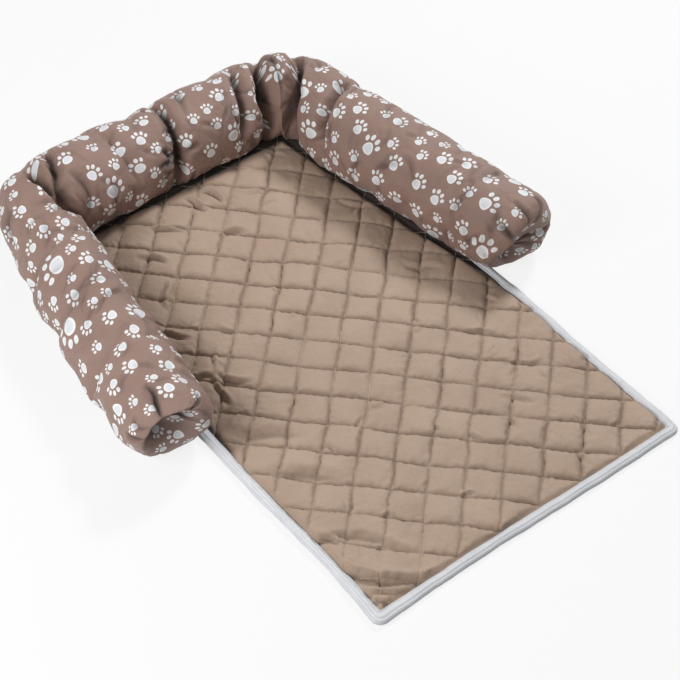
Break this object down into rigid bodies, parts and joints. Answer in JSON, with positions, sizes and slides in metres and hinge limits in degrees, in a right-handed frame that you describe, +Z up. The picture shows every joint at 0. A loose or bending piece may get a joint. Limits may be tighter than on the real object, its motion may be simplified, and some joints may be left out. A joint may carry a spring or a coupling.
{
  "type": "dog sofa bed",
  "caption": "Quilted dog mat for a sofa with a stuffed bolster round three sides, a bound front apron that folds, and a zip low on the back.",
  "frame": {"origin": "middle of the bed's outline, on the surface it lies on", "axes": "+X to the right of someone in front of the bed, +Y from the apron to the back bolster, +Z up"},
  "size_m": [0.7366, 0.924, 0.1245],
  "materials": {
    "quilt_cloth": "smooth woven cloth, quilted",
    "wadding": "white fibre",
    "backing_cloth": "plain woven cloth",
    "binding_tape": "satin tape",
    "bolster_cloth": "smooth woven cloth with a paw print",
    "filling": "loose white fibre",
    "zip_tape": "woven tape",
    "zip_teeth": "moulded",
    "zip_metal": "satin"
  },
  "bodies": {
    "root": {"seat_face": "quilt_cloth", "seat_wadding": "wadding", "seat_backing": "backing_cloth", "back_binding": "binding_tape", "left_seat_binding": "binding_tape", "right_seat_binding": "binding_tape", "left_arm_cover": "bolster_cloth", "back_cover": "bolster_cloth", "right_arm_cover": "bolster_cloth", "left_arm_filling": "filling", "back_filling": "filling", "right_arm_filling": "filling", "upper_zip_tape": "zip_tape", "lower_zip_tape": "zip_tape", "upper_zip_teeth": "zip_teeth", "lower_zip_teeth": "zip_teeth", "zip_stops": "zip_metal"},
    "apron": {"apron_face": "quilt_cloth", "apron_wadding": "wadding", "apron_backing": "backing_cloth", "front_binding": "binding_tape", "left_apron_binding": "binding_tape", "right_apron_binding": "binding_tape"},
    "zip_slider": {"zip_slider": "zip_metal"},
    "zip_pull": {"zip_pull": "zip_metal"}
  },
  "joints": [
    {"name": "apron_fold", "type": "hinge", "parent": "root", "child": "apron", "pos_m": [0, -0.122, 0.0062], "axis": [-1, 0, 0], "range_deg": [-90, 90]},
    {"name": "zip_slide", "type": "slide", "parent": "root", "child": "zip_slider", "axis": [-1, 0, 0], "range_m": [0, 0.27]},
    {"name": "pull_swing", "type": "hinge", "parent": "zip_slider", "child": "zip_pull", "pos_m": [0.14, 0.4596, 0.03931], "axis": [0, -0.342, -0.9397], "range_deg": [0, 170]}
  ]
}
